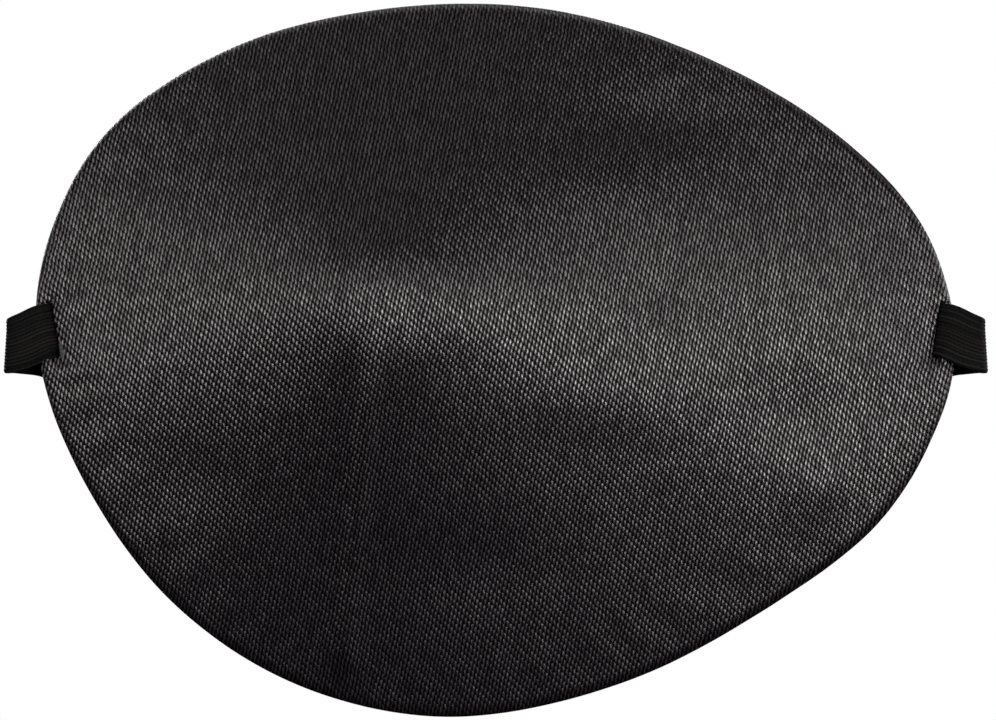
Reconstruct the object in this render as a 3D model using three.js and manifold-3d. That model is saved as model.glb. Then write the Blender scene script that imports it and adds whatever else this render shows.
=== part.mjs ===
// An eye patch: a shallow satin-covered cup on a flat elastic headband with a slide adjuster.
// Millimetres. +Z is up on the wearer's face, +X is to the right seen from the front, and +Y
// points back to the face. The origin is midway between the two band slots, on the plane of the
// rim's back, where the patch rests round the eye.
import * as THREE from "three";
import { mergeVertices } from "three/addons/utils/BufferGeometryUtils.js";
import Module from "manifold-3d";

const wasm = await Module();
wasm.setup();

// ---- Driving dimensions ----

// The cup's outline from the front, anticlockwise from the right-hand slot: x as a share of half
// its width and z as a share of half its height, about the middle of the slots.
const OUTLINE = [
  [1, -0.015], [0.929, 0.291], [0.734, 0.555], [0.428, 0.779], [0.101, 0.9],
  [-0.256, 0.897], [-0.588, 0.782], [-0.859, 0.536], [-0.988, 0.185], [-0.991, -0.1],
  [-0.899, -0.418], [-0.711, -0.755], [-0.445, -0.988], [-0.111, -1.085], [0.266, -0.994],
  [0.588, -0.782], [0.845, -0.524], [0.976, -0.215],
];
const CUP_WIDE = 85;
const CUP_TALL = 66;
const CROWN_X = -10.5; // the cup's highest point is off centre
const CROWN_Z = 3.2;
const CROWN_RISE = 12; // how far the crown stands forward of the rim's front
const CROWN_ROUND = 0.18; // share of a slope that rounds the crown
const FOOT_ROUND = 0.16; // share of a slope that runs out into the flat rim

const RIM_BAND = 5; // flat band all round, behind which the face is touched
const RIM_THICK = 2.6;
const CLOTH = 0.4; // satin and lining
const FOAM = 3; // the pad in the dome; it is pressed thinner in the rim
const HEM = 3.6; // the satin turned over to the back
const SEAM_THREAD = 0.4;
const GAP = 0.25; // between pieces that lie on each other

const DART_WIDTH = 2; // tape over the closed dart in the foam
const DART_THICK = 0.2;
const DART_HEADING = 264; // degrees from +X: the dart runs down from the crown

const BAND = 5; // the elastic's width
const BAND_THICK = 0.7;
const SLOT_INSET = 1.8; // slot's middle, in from the outline
const SLOT_SPARE = 0.3; // slot past the band's edge, at each end
const SLOT_LEAN = 9.4; // degrees, top outward, so the slot runs along the cup's edge
const LOOP_REACH = 3.3; // the loop's outer face, out from the cup's edge
const LOOP_LEAN = -4; // degrees, top inward, where the loop folds back
const LOOP_FALL = 0.7; // share of the drop to the pivot that the loop makes before it folds back

const PIVOT_DROP = 1.9; // the headband's middle hangs this far under the slots' middle
const PIVOT_REACH = 6.5; // the slot loops end on this radius, and the headband starts past it
const SLOPE = 3; // degrees, down towards the back of the head
const RUN_INSET = 0.5; // a run starts this far in from the cup's edge, on the plane of the rim's back
const TAPER = 6; // degrees, each side run leans in
const RUN = 110; // one straight side run
const MERGE = 14; // along the run, where a slot's two legs lie on each other

const END_LONG = 23; // the left end of the band stops here along the run
const TACK_LONG = 2.6;
const TACK_THICK = 0.3;
const TACK_MARGIN = 1.2; // from a tack to the end of the band

const SLIDER_AT = 45; // middle bar of the slider, along the run
const SLIDER_BAR = 1.4; // the middle bar
const SLIDER_END = 1.3; // the two end bars
const SLIDER_WINDOW = 2.7; // each opening, along the run
const SLIDER_RAIL = 1.6;
const SLIDER_WALL = 1;
const SLIDER_TAIL = 9.5; // the right end of the band, folded back from the middle bar

// ---- Values worked out from them ----

const SPOKES = 48;
const DOME_RINGS = 8;
const EDGE_STEPS = 4;
const RIGHT = 1;
const LEFT = -1;
const radians = THREE.MathUtils.degToRad;
const edgeX = CUP_WIDE / 2;
const slotX = edgeX - SLOT_INSET;
const slotWidth = BAND_THICK + 2 * GAP;
const slotLong = BAND + 2 * SLOT_SPARE;
const loopX = edgeX + LOOP_REACH - BAND_THICK / 2;
const runX = edgeX - RUN_INSET;
const layer = BAND_THICK + GAP; // from one layer of band to the next
const rimRound = RIM_THICK / 2; // the edge is a half round
const skin = CLOTH + GAP; // from the satin's face to the foam
const rimFoam = RIM_THICK - 2 * skin;

// ---- Materials ----

const satin = new THREE.MeshStandardMaterial({ color: 0x1b191b, roughness: 0.42, metalness: 0 });
const foam = new THREE.MeshStandardMaterial({ color: 0x2a2a2c, roughness: 0.95, metalness: 0 });
const liningCloth = new THREE.MeshStandardMaterial({ color: 0x201f22, roughness: 0.7, metalness: 0 });
const elastic = new THREE.MeshStandardMaterial({ color: 0x131212, roughness: 0.75, metalness: 0 });
const thread = new THREE.MeshStandardMaterial({ color: 0x161415, roughness: 0.6, metalness: 0 });
const plastic = new THREE.MeshStandardMaterial({ color: 0x121213, roughness: 0.35, metalness: 0 });

// ---- Solids: three.js geometries in, manifold-3d only joins and cuts ----

// The geometry with shared vertices merged and the triangles that closed up on an axis dropped.
function bare(geometry) {
  const plain = geometry.clone();
  plain.deleteAttribute("normal");
  plain.deleteAttribute("uv");
  const merged = mergeVertices(plain, 1e-4);
  const kept = [];
  const index = merged.index.array;
  for (let i = 0; i < index.length; i += 3) {
    const [a, b, c] = [index[i], index[i + 1], index[i + 2]];
    if (a !== b && b !== c && c !== a) kept.push(a, b, c);
  }
  return merged.setIndex(kept);
}

function solid(geometry) {
  const merged = bare(geometry);
  return new wasm.Manifold(new wasm.Mesh({
    numProp: 3,
    vertProperties: merged.attributes.position.array,
    triVerts: new Uint32Array(merged.index.array),
  }));
}

function geometryOf(manifold) {
  const made = manifold.getMesh();
  return new THREE.BufferGeometry()
    .setAttribute("position", new THREE.BufferAttribute(made.vertProperties, 3))
    .setIndex(new THREE.BufferAttribute(made.triVerts, 1));
}

function piece(name, geometry, material) {
  const mesh = new THREE.Mesh(geometry, material);
  mesh.name = name;
  return mesh;
}

// ---- The cup ----

const outline = new THREE.CatmullRomCurve3(
  OUTLINE.map(([x, z]) => new THREE.Vector3(x * CUP_WIDE / 2, 0, z * CUP_TALL / 2)), true, "centripetal",
).getSpacedPoints(SPOKES).slice(0, SPOKES);
const crown = new THREE.Vector3(CROWN_X, 0, CROWN_Z);

// How far a slope has come down, from 0 at the crown to 1 at the flat rim.
function comeDown(share) {
  const whole = 1 - (CROWN_ROUND + FOOT_ROUND) / 2;
  if (share < CROWN_ROUND) return share ** 2 / (2 * CROWN_ROUND) / whole;
  if (share <= 1 - FOOT_ROUND) return (share - CROWN_ROUND / 2) / whole;
  return 1 - (1 - share) ** 2 / (2 * FOOT_ROUND) / whole;
}

const backRise = CROWN_RISE - (FOAM - rimFoam);
const frontAt = (share) => -(RIM_THICK + CROWN_RISE * (1 - comeDown(share)));
const backAt = (share) => -backRise * (1 - comeDown(share));

// A profile point is (u, y): u up to 1 is the share of the way from the crown to the rim band,
// and past 1 it is 1 plus millimetres into the band, so the band keeps its width all round.
const inBand = (fromEdge) => 1 + RIM_BAND - fromEdge;

function slopeLine(height, offset) {
  return Array.from({ length: DOME_RINGS + 1 }, (_, i) => {
    const share = i / DOME_RINGS;
    return new THREE.Vector2(share, height(share) + offset);
  });
}

// The half round of the rim, from front to back, drawn in from the outline by inset.
function rimEdge(inset) {
  const radius = rimRound - inset;
  return Array.from({ length: EDGE_STEPS + 1 }, (_, i) => {
    const turn = (i / EDGE_STEPS - 0.5) * Math.PI;
    const out = inBand(rimRound) + radius * Math.cos(turn);
    return new THREE.Vector2(out, radius * Math.sin(turn) - rimRound);
  });
}

// A lathe about the crown whose spokes are then drawn out to the outline. The outline runs the
// other way round from a lathe, so the profile is reversed to keep the faces outward.
function cupShell(profile) {
  const points = [...profile].reverse();
  const geometry = new THREE.LatheGeometry(points, SPOKES);
  const place = geometry.attributes.position;
  for (let i = 0; i < place.count; i++) {
    const spoke = Math.floor(i / points.length) % SPOKES;
    const { x: u, y } = points[i % points.length];
    const out = outline[spoke].clone().sub(crown);
    const reach = out.length() - RIM_BAND;
    const radius = u <= 1 ? u * reach : reach + u - 1;
    const at = crown.clone().addScaledVector(out.normalize(), radius);
    place.setXYZ(i, at.x, y, at.z);
  }
  return bare(geometry);
}

// From the crown down the front, round the edge to the hem's end, and back inside the cloth.
function coverProfile() {
  return [
    ...slopeLine(frontAt, 0),
    ...rimEdge(0),
    new THREE.Vector2(inBand(HEM), 0),
    new THREE.Vector2(inBand(HEM), -CLOTH),
    ...rimEdge(CLOTH).reverse(),
    ...slopeLine(frontAt, CLOTH).reverse(),
  ];
}

function padProfile() {
  return [
    ...slopeLine(frontAt, skin),
    ...rimEdge(skin),
    ...slopeLine(backAt, -skin).reverse(),
  ];
}

// The hem's seam fills the channel between the hem's end and the lining's.
const seamOuter = HEM + GAP;
const seamInner = seamOuter + SEAM_THREAD;
const liningEnd = seamInner + GAP;

function liningProfile() {
  return [
    ...slopeLine(backAt, -CLOTH),
    new THREE.Vector2(inBand(liningEnd), -CLOTH),
    new THREE.Vector2(inBand(liningEnd), 0),
    ...slopeLine(backAt, 0).reverse(),
  ];
}

function seamProfile() {
  const corners = [[seamInner, -CLOTH], [seamOuter, -CLOTH], [seamOuter, 0], [seamInner, 0]];
  return [...corners, corners[0]].map(([fromEdge, y]) => new THREE.Vector2(inBand(fromEdge), y));
}

function slotCutter(side) {
  const cutter = new THREE.BoxGeometry(slotWidth, 4 * RIM_THICK, slotLong);
  return solid(cutter.rotateY(radians(side * SLOT_LEAN)).translate(side * slotX, 0, 0));
}

function withSlots(geometry) {
  return solid(geometry).subtract(slotCutter(LEFT)).subtract(slotCutter(RIGHT));
}

// A flat strip down the cup's front on the spoke nearest the dart's heading, between two depths
// under the satin's face. It runs from the dome's first ring to its last but one, less endGap.
function dartStrip(width, top, bottom, endGap) {
  const heading = new THREE.Vector3(Math.cos(radians(DART_HEADING)), 0, Math.sin(radians(DART_HEADING)));
  const outward = outline.map((point) => point.clone().sub(crown));
  const along = outward.reduce((best, out) => (
    out.clone().normalize().dot(heading) > best.clone().normalize().dot(heading) ? out : best));
  const reach = along.length() - RIM_BAND;
  along.normalize();
  const across = new THREE.Vector3(along.z, 0, -along.x);
  const strip = new THREE.BoxGeometry(width, bottom - top, 1, 1, 1, DOME_RINGS - 2);
  const place = strip.attributes.position;
  for (let i = 0; i < place.count; i++) {
    const ring = (1 + (place.getZ(i) + 0.5) * (DOME_RINGS - 2)) / DOME_RINGS;
    const ends = [1 / DOME_RINGS + endGap / reach, 1 - 1 / DOME_RINGS - endGap / reach];
    const share = THREE.MathUtils.clamp(ring, ...ends);
    const at = crown.clone().addScaledVector(along, share * reach).addScaledVector(across, place.getX(i));
    place.setXYZ(i, at.x, frontAt(share) + (top + bottom) / 2 + place.getY(i), at.z);
  }
  return bare(strip);
}

const tapeDepth = skin + DART_THICK;
const dartGroove = dartStrip(DART_WIDTH + 2 * GAP, CLOTH, tapeDepth + GAP, 0);

// ---- The band ----

const up = new THREE.Vector3(0, 0, 1);

// A flat strip of band along a line of points, its width upright but for a lean at each point.
function bandStrip(points, leanAt = () => 0) {
  const last = points.length - 1;
  const strip = new THREE.BoxGeometry(BAND_THICK, BAND, 1, 1, 1, last);
  const place = strip.attributes.position;
  for (let i = 0; i < place.count; i++) {
    const k = Math.round((place.getZ(i) + 0.5) * last);
    const along = points[Math.min(k + 1, last)].clone().sub(points[Math.max(k - 1, 0)]).normalize();
    const side = up.clone().cross(along).normalize();
    const wide = up.clone().applyAxisAngle(new THREE.Vector3(0, 1, 0), radians(leanAt(points[k])));
    const at = points[k].clone().addScaledVector(side, place.getX(i)).addScaledVector(wide, place.getY(i));
    place.setXYZ(i, at.x, at.y, at.z);
  }
  return bare(strip);
}

const smooth = (points, steps) => (
  new THREE.CatmullRomCurve3(points, false, "centripetal").getSpacedPoints(steps));

// A point beside one side run: along it from the pivot, and out from the band's middle.
function byRun(side, along, out) {
  const taper = radians(TAPER);
  const x = runX - along * Math.sin(taper) + out * Math.cos(taper);
  return new THREE.Vector3(side * x, along * Math.cos(taper) + out * Math.sin(taper), -PIVOT_DROP);
}

// The inner leg of a slot's loop comes out to lie against the outer leg at MERGE.
function innerLegOut(along) {
  const share = THREE.MathUtils.smoothstep(along, 0, MERGE);
  return THREE.MathUtils.lerp(slotX - runX, -layer, share);
}

const innerLeg = (side, along) => byRun(side, along, innerLegOut(along));

// From behind, forward through the slot, over the cup's edge, round outside it and back inward.
function slotLoopPath(side) {
  const front = RIM_THICK + GAP + BAND_THICK / 2;
  const bend = front - BAND_THICK;
  const at = (x, y, dropShare) => new THREE.Vector3(side * x, y, -PIVOT_DROP * dropShare);
  const along = (share) => THREE.MathUtils.lerp(0, PIVOT_REACH, share);
  return smooth([
    innerLeg(side, PIVOT_REACH + 1),
    at(innerLeg(RIGHT, along(0.5)).x, along(0.5), 0.5),
    at(slotX, 0, 0),
    at(slotX, -bend, 0),
    at(slotX + BAND_THICK, -front, 0.1 * LOOP_FALL),
    at((slotX + loopX) / 2, -front, 0.5 * LOOP_FALL),
    at(loopX - BAND_THICK, -front + GAP, 0.85 * LOOP_FALL),
    at(loopX, -bend + GAP, LOOP_FALL),
    at(THREE.MathUtils.lerp(loopX, runX, 0.1), 0, LOOP_FALL),
    at(THREE.MathUtils.lerp(loopX, runX, 0.7), along(0.55), (1 + LOOP_FALL) / 2),
    byRun(side, PIVOT_REACH + 1, 0),
  ], 40);
}

function pivotCylinder(radius) {
  const round = new THREE.CylinderGeometry(radius, radius, 4 * edgeX, SPOKES);
  return solid(round.rotateZ(Math.PI / 2).translate(0, 0, -PIVOT_DROP));
}

function slotLoop(side) {
  const lean = (at) => {
    const outward = THREE.MathUtils.smoothstep(Math.abs(at.x), slotX, loopX);
    const backward = THREE.MathUtils.smoothstep(at.y, 0, PIVOT_REACH);
    return side * THREE.MathUtils.lerp(SLOT_LEAN, LOOP_LEAN, outward) * (1 - backward);
  };
  return geometryOf(solid(bandStrip(slotLoopPath(side), lean)).intersect(pivotCylinder(PIVOT_REACH)));
}

// Everything behind the pivot is cut clear of it, and slopes down about it.
function behindPivot(manifold) {
  const cut = geometryOf(manifold.subtract(pivotCylinder(PIVOT_REACH + GAP)));
  const slope = new THREE.Matrix4().makeTranslation(0, 0, -PIVOT_DROP)
    .multiply(new THREE.Matrix4().makeRotationX(radians(-SLOPE)))
    .multiply(new THREE.Matrix4().makeTranslation(0, 0, PIVOT_DROP));
  return cut.applyMatrix4(slope);
}

// Back along the right run, round behind the head, and forward along the left run.
function headbandPath() {
  const start = PIVOT_REACH / 2;
  const end = byRun(RIGHT, RUN, 0);
  const roundness = end.x / Math.cos(radians(TAPER));
  const middleY = end.y - roundness * Math.sin(radians(TAPER));
  const arcSteps = 24;
  const arc = Array.from({ length: arcSteps + 1 }, (_, i) => {
    const turn = radians(TAPER) + (i / arcSteps) * (Math.PI - 2 * radians(TAPER));
    return new THREE.Vector3(
      roundness * Math.cos(turn), middleY + roundness * Math.sin(turn), -PIVOT_DROP);
  });
  return [byRun(RIGHT, start, 0), ...arc, byRun(LEFT, start, 0)];
}

function legStrip(side, from, to) {
  const steps = 8;
  return bandStrip(Array.from({ length: steps + 1 }, (_, i) => (
    innerLeg(side, THREE.MathUtils.lerp(from, to, i / steps)))));
}

// A thin patch of close stitches on the inner face of a run's layer of band.
function barTack(side, along, out) {
  const tack = new THREE.BoxGeometry(TACK_THICK, TACK_LONG, BAND - 1);
  const at = byRun(side, along, out - BAND_THICK / 2 - GAP - TACK_THICK / 2);
  return tack.rotateZ(radians(side * TAPER)).translate(at.x, at.y, at.z);
}

// ---- The slide adjuster ----

const sliderHalf = SLIDER_BAR / 2 + SLIDER_WINDOW + SLIDER_END;
const barTop = -layer - BAND_THICK / 2 - GAP; // the sewn end lies over the bar, the band over that
const barMiddle = barTop - SLIDER_WALL / 2;
const endFace = BAND_THICK / 2 + GAP; // the end bars pass over the band
const foldRound = SLIDER_WALL / 2 + GAP + BAND_THICK / 2;

// A geometry drawn with X out from the right run, Y along it and Z up, put on the run.
function onRightRun(geometry, along) {
  const at = byRun(RIGHT, along, 0);
  return geometry.rotateZ(radians(TAPER)).translate(at.x, at.y, at.z);
}

function slider() {
  const wallEnd = sliderHalf - SLIDER_END;
  const edge = [
    [-sliderHalf, endFace], [-wallEnd, endFace], [-SLIDER_BAR / 2, barTop - SLIDER_WALL],
    [SLIDER_BAR / 2, barTop - SLIDER_WALL], [wallEnd, endFace], [sliderHalf, endFace],
    [sliderHalf, endFace + SLIDER_WALL], [wallEnd - SLIDER_WALL / 2, endFace + SLIDER_WALL],
    [SLIDER_BAR / 2, barTop], [-SLIDER_BAR / 2, barTop],
    [-wallEnd + SLIDER_WALL / 2, endFace + SLIDER_WALL], [-sliderHalf, endFace + SLIDER_WALL],
  ];
  const side = new THREE.Shape(edge.map(([along, out]) => new THREE.Vector2(out, along)));
  const tall = slotLong + 2 * SLIDER_RAIL;
  const plate = new THREE.ExtrudeGeometry(side, { depth: tall, bevelEnabled: false });
  const windowAt = SLIDER_BAR / 2 + SLIDER_WINDOW / 2;
  const cutter = (along) => solid(
    new THREE.BoxGeometry(8 * SLIDER_WALL, SLIDER_WINDOW, slotLong).translate(0, along, 0));
  const cut = solid(plate.translate(0, 0, -tall / 2)).subtract(cutter(windowAt)).subtract(cutter(-windowAt));
  return onRightRun(geometryOf(cut), SLIDER_AT);
}

// The band's right end: over the middle bar, round behind it, and forward to its tack.
function sliderBandEnd() {
  const turnSteps = 8;
  const point = (along, out) => byRun(RIGHT, SLIDER_AT + along, out);
  const turn = Array.from({ length: turnSteps + 1 }, (_, i) => {
    const angle = (i / turnSteps) * Math.PI;
    const along = SLIDER_BAR / 2 + foldRound * Math.sin(angle);
    return point(along, barMiddle + foldRound * Math.cos(angle));
  });
  return bandStrip([
    point(-SLIDER_TAIL, -layer), ...turn, point(-SLIDER_BAR, barMiddle - foldRound),
    point(-SLIDER_TAIL / 2, -2 * layer), point(-SLIDER_TAIL, -2 * layer),
  ]);
}

// ---- The eye patch ----

const patch = new THREE.Group();
patch.add(
  piece("front_cover", geometryOf(withSlots(cupShell(coverProfile()))), satin),
  piece("foam_pad", geometryOf(withSlots(cupShell(padProfile())).subtract(solid(dartGroove))), foam),
  piece("dart_tape", dartStrip(DART_WIDTH, skin, tapeDepth, GAP), thread),
  piece("back_lining", cupShell(liningProfile()), liningCloth),
  piece("hem_seam", cupShell(seamProfile()), thread),
  piece("left_slot_loop", slotLoop(LEFT), elastic),
  piece("right_slot_loop", slotLoop(RIGHT), elastic),
);

const headband = new THREE.Group();
headband.add(
  piece("headband", behindPivot(solid(bandStrip(headbandPath()))), elastic),
  piece("left_band_end", behindPivot(solid(legStrip(LEFT, PIVOT_REACH / 2, END_LONG))), elastic),
  piece("left_bar_tack",
    behindPivot(solid(barTack(LEFT, END_LONG - TACK_MARGIN - TACK_LONG / 2, -layer))), thread),
  piece("adjuster_leg",
    behindPivot(solid(legStrip(RIGHT, PIVOT_REACH / 2, SLIDER_AT - SLIDER_TAIL - GAP))), elastic),
  piece("slide_adjuster", behindPivot(solid(slider())), plastic),
  piece("slider_band_end", behindPivot(solid(sliderBandEnd())), elastic),
  piece("slider_bar_tack", behindPivot(solid(
    barTack(RIGHT, SLIDER_AT - SLIDER_TAIL + TACK_MARGIN + TACK_LONG / 2, -2 * layer))), thread),
);

const eyePatch = new THREE.Group();
eyePatch.add(patch, headband);

export default eyePatch;
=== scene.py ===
# %% [markdown]
# # A satin eye patch
# This lesson dresses a finished CAD model of an eye patch. The CAD holds the sizes and the joints.
# Here each soft piece is made again as the cloth, pad, elastic or thread that it really is.
# Everything is in metres, in the CAD's frame: +X is right seen from the front, +Z is up, and +Y
# points back to the face. The origin is midway between the two band slots, behind the rim.

# %% Load the frame
import math

import bmesh
import bpy
import numpy as np
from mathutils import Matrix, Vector


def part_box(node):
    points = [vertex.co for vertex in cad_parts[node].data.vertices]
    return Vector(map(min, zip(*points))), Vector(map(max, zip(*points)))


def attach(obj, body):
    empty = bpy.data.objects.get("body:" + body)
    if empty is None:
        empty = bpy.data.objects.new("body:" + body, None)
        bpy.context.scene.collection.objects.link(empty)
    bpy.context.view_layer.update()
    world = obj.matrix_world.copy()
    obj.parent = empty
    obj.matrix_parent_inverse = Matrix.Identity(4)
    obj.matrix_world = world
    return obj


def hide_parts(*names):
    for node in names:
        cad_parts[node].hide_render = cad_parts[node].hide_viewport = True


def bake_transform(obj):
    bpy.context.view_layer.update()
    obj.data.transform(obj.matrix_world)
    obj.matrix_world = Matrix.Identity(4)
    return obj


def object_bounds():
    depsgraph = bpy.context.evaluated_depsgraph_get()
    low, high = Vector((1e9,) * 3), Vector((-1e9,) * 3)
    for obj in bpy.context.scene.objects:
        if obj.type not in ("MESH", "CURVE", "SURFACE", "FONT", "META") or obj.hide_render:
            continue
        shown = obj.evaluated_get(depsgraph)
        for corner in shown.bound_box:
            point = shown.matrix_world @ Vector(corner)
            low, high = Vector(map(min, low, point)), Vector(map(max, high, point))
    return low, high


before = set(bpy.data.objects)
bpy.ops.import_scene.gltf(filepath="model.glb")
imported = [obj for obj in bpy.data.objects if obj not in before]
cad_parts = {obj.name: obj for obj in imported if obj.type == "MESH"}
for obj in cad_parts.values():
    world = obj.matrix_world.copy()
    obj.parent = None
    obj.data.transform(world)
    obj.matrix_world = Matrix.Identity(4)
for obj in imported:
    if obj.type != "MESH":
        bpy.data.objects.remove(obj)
cad_box = [list(corner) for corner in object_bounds()]
MM = 0.001
print("CAD box in mm:", [[round(value / MM, 1) for value in corner] for corner in cad_box])

# %% [markdown]
# ## Camera
# The camera stands straight in front of the cup, level with it, with a long lens, so the cup
# keeps its true outline and hides the band that runs back behind it. The picture is as wide as
# the two folded loops of band, with a hair of room.

# %% Set the camera
VIEW_WIDTH = 92.1 * MM
VIEW_CENTRE = Vector((0.2 * MM, -1.3 * MM, -2.8 * MM))
CAMERA_AWAY = 0.7

camera_data = bpy.data.cameras.new("camera")
camera_data.sensor_width = 36
camera_data.lens = camera_data.sensor_width * CAMERA_AWAY / VIEW_WIDTH
camera = bpy.data.objects.new("camera", camera_data)
camera.location = VIEW_CENTRE - Vector((0, CAMERA_AWAY, 0))
camera.rotation_euler = (math.radians(90), 0, 0)
bpy.context.scene.collection.objects.link(camera)
bpy.context.scene.camera = camera
bpy.context.scene.view_settings.view_transform = "Standard"
print("lens in mm:", round(camera_data.lens))

# %% [markdown]
# ## Node helpers
# Every finish below is a small node tree. These helpers keep the trees short: one adds a node
# and sets or links its inputs, and others do arithmetic, noise, colours and bumps. A value that
# is a socket gets linked, and any other value is set on the input.

# %% Helpers for node trees
def put(tree, value, socket):
    if isinstance(value, bpy.types.NodeSocket):
        tree.links.new(value, socket)
    elif value is not None:
        socket.default_value = value


def add_node(tree, kind, inputs=(), **settings):
    node = tree.nodes.new(kind)
    for name, value in settings.items():
        setattr(node, name, value)
    for name, value in dict(inputs).items():
        put(tree, value, node.inputs[name])
    return node


def maths(tree, operation, *values):
    node = add_node(tree, "ShaderNodeMath", operation=operation)
    for socket, value in zip(node.inputs, values):
        put(tree, value, socket)
    return node.outputs[0]


def product(tree, vector, times):
    node = add_node(tree, "ShaderNodeVectorMath", operation="MULTIPLY")
    put(tree, vector, node.inputs[0])
    put(tree, times, node.inputs[1])
    return node.outputs[0]


def noise(tree, coordinates, scale, detail=2.0):
    inputs = {"Vector": coordinates, "Scale": scale, "Detail": detail}
    return add_node(tree, "ShaderNodeTexNoise", inputs).outputs["Fac"]


def mixed_colour(tree, share, low, high):
    ramp = add_node(tree, "ShaderNodeValToRGB", {"Fac": share})
    ramp.color_ramp.elements[0].color = (*low, 1)
    ramp.color_ramp.elements[1].color = (*high, 1)
    return ramp.outputs["Color"]


def spread(tree, value, low, high):
    inputs = {"Value": value, "To Min": low, "To Max": high}
    return add_node(tree, "ShaderNodeMapRange", inputs).outputs["Result"]


def bump(tree, height, depth, strength=1.0):
    inputs = {"Height": height, "Distance": depth, "Strength": strength}
    return add_node(tree, "ShaderNodeBump", inputs).outputs["Normal"]


def new_material(name, specular, **constants):
    """A material, its tree and its shader, with the values that are the same all over it."""
    material = bpy.data.materials.new(name)
    material.use_nodes = True
    tree = material.node_tree
    shader = tree.nodes["Principled BSDF"]
    shader.inputs["Specular IOR Level"].default_value = specular
    for socket, value in constants.items():
        shader.inputs[socket.replace("_", " ")].default_value = value
    return material, tree, shader


# %% [markdown]
# ## Floor and light
# Black satin shows only what it reflects, so the light is the drawing. Six soft boxes stand to
# the left and right of the cup, high, level and low. Each one lights a sector of the cone, and
# none stands straight above or below it, so those slopes stay dark. Three more boxes light the
# top and the back. The floor and the world look white to the camera and stay dim in the satin's
# reflections, as with a product cut out on white.

# %% Make the floor, the world and the lights
FLOOR_DROP = 320 * MM
WORLD_FILL = 0.006

world = bpy.data.worlds.new("studio")
world.use_nodes = True
background = world.node_tree.nodes["Background"]
background.inputs["Color"].default_value = (1, 1, 1, 1)
path = add_node(world.node_tree, "ShaderNodeLightPath")
seen = spread(world.node_tree, path.outputs["Is Camera Ray"], WORLD_FILL, 1.0)
put(world.node_tree, seen, background.inputs["Strength"])
bpy.context.scene.world = world

floor_paint, tree, shader = new_material("floor_paint", 0.2, Roughness=0.9)
shader.inputs["Base Color"].default_value = (0.82, 0.82, 0.82, 1)
shader.inputs["Emission Color"].default_value = (1, 1, 1, 1)
shader.inputs["Emission Strength"].default_value = 1.0
bpy.ops.mesh.primitive_plane_add(size=8, location=(0, 0, cad_box[0][2] - FLOOR_DROP))
floor = bpy.context.object
floor.name = "floor"
floor.data.materials.append(floor_paint)
floor.visible_glossy = floor.visible_diffuse = False


# Each soft box: its name, its place, its width and height, and its power in watts.
SOFT_BOXES = [
    ("left_box", (-1.18, -0.55, 0.0), (0.5, 0.5), 12), ("right_box", (1.18, -0.55, 0.0), (0.5, 0.5), 17),
    ("high_left_box", (-0.76, -0.9, 0.55), (0.5, 0.5), 10),
    ("high_right_box", (0.86, -0.8, 0.55), (0.5, 0.5), 9.5),
    ("low_left_box", (-0.6, -1.1, -0.3), (0.5, 0.4), 7), ("low_right_box", (0.44, -1.2, -0.22), (0.5, 0.4), 26),
    ("top_box", (0, 0.3, 2.2), (2.5, 2.5), 40), ("back_box", (-0.8, 1.9, 0.7), (1.0, 0.8), 60),
    ("back_right_box", (1.5, 1.3, 0.3), (0.8, 0.8), 24),
]


def soft_box(name, place, size, power):
    """A soft rectangular light that faces the cup and isn't seen itself."""
    light = bpy.data.lights.new(name, "AREA")
    light.shape = "RECTANGLE"
    light.size, light.size_y = size
    light.energy = power
    lamp = bpy.data.objects.new(name, light)
    lamp.location = place
    lamp.rotation_euler = (-Vector(place)).to_track_quat("-Z", "Y").to_euler()
    lamp.visible_camera = False
    bpy.context.scene.collection.objects.link(lamp)


for box in SOFT_BOXES:
    soft_box(*box)
print("soft boxes:", len(SOFT_BOXES))

# %% [markdown]
# ## The cup's shape
# Four pieces share one shape: the satin, the pad, the tape on its dart and the lining are
# nested shells. The outline is read from the CAD's rim, so the shells fit it exactly. A point
# of the cup is given by its heading round the crown and by how far out it lies, and one formula
# gives the slope: a cone with a rounded crown. In front it runs on into the half-round edge, and
# behind it eases out into a flat rim.

# %% Read the rim from the CAD
RIM_THICK = 2.6 * MM
RIM_BAND = 5 * MM
CROWN_ROUND = 0.18
FOOT_ROUND = 0.16
RIM_ROUND = RIM_THICK / 2
EDGE_TILT = math.radians(18)
LINING_WALL = 0.4 * MM
SLOT_STRAY = 0.3 * MM
LEVEL_MATCH = 0.02 * MM
HEADING_WINDOW, HEADING_STEP = 0.06, 0.01
SPOKES = 380
DART_HEADING = math.radians(264)


def smooth_step(share):
    share = np.clip(share, 0, 1)
    return share**2 * (3 - 2 * share)


def corners_of(node):
    return np.array([vertex.co[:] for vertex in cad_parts[node].data.vertices])


cover_points = corners_of("front_cover")
crown = cover_points[cover_points[:, 1].argmin()]
back_rise = -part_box("back_lining")[0].y - LINING_WALL
on_rim = cover_points[np.abs(cover_points[:, 1] + RIM_THICK / 2) < LEVEL_MATCH]
rim_out = on_rim[:, [0, 2]] - crown[[0, 2]]
rim_heading = np.arctan2(rim_out[:, 1], rim_out[:, 0])
rim_reach = np.hypot(rim_out[:, 0], rim_out[:, 1])
outer = [i for i in range(len(on_rim))
         if rim_reach[i] > rim_reach[np.abs(rim_heading - rim_heading[i]) < HEADING_WINDOW].max() - SLOT_STRAY]
order = np.array(outer)[np.argsort(rim_heading[outer])]
keep = np.append(True, np.diff(rim_heading[order]) > HEADING_STEP)
rim_heading, rim_reach = rim_heading[order][keep], rim_reach[order][keep]
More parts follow.
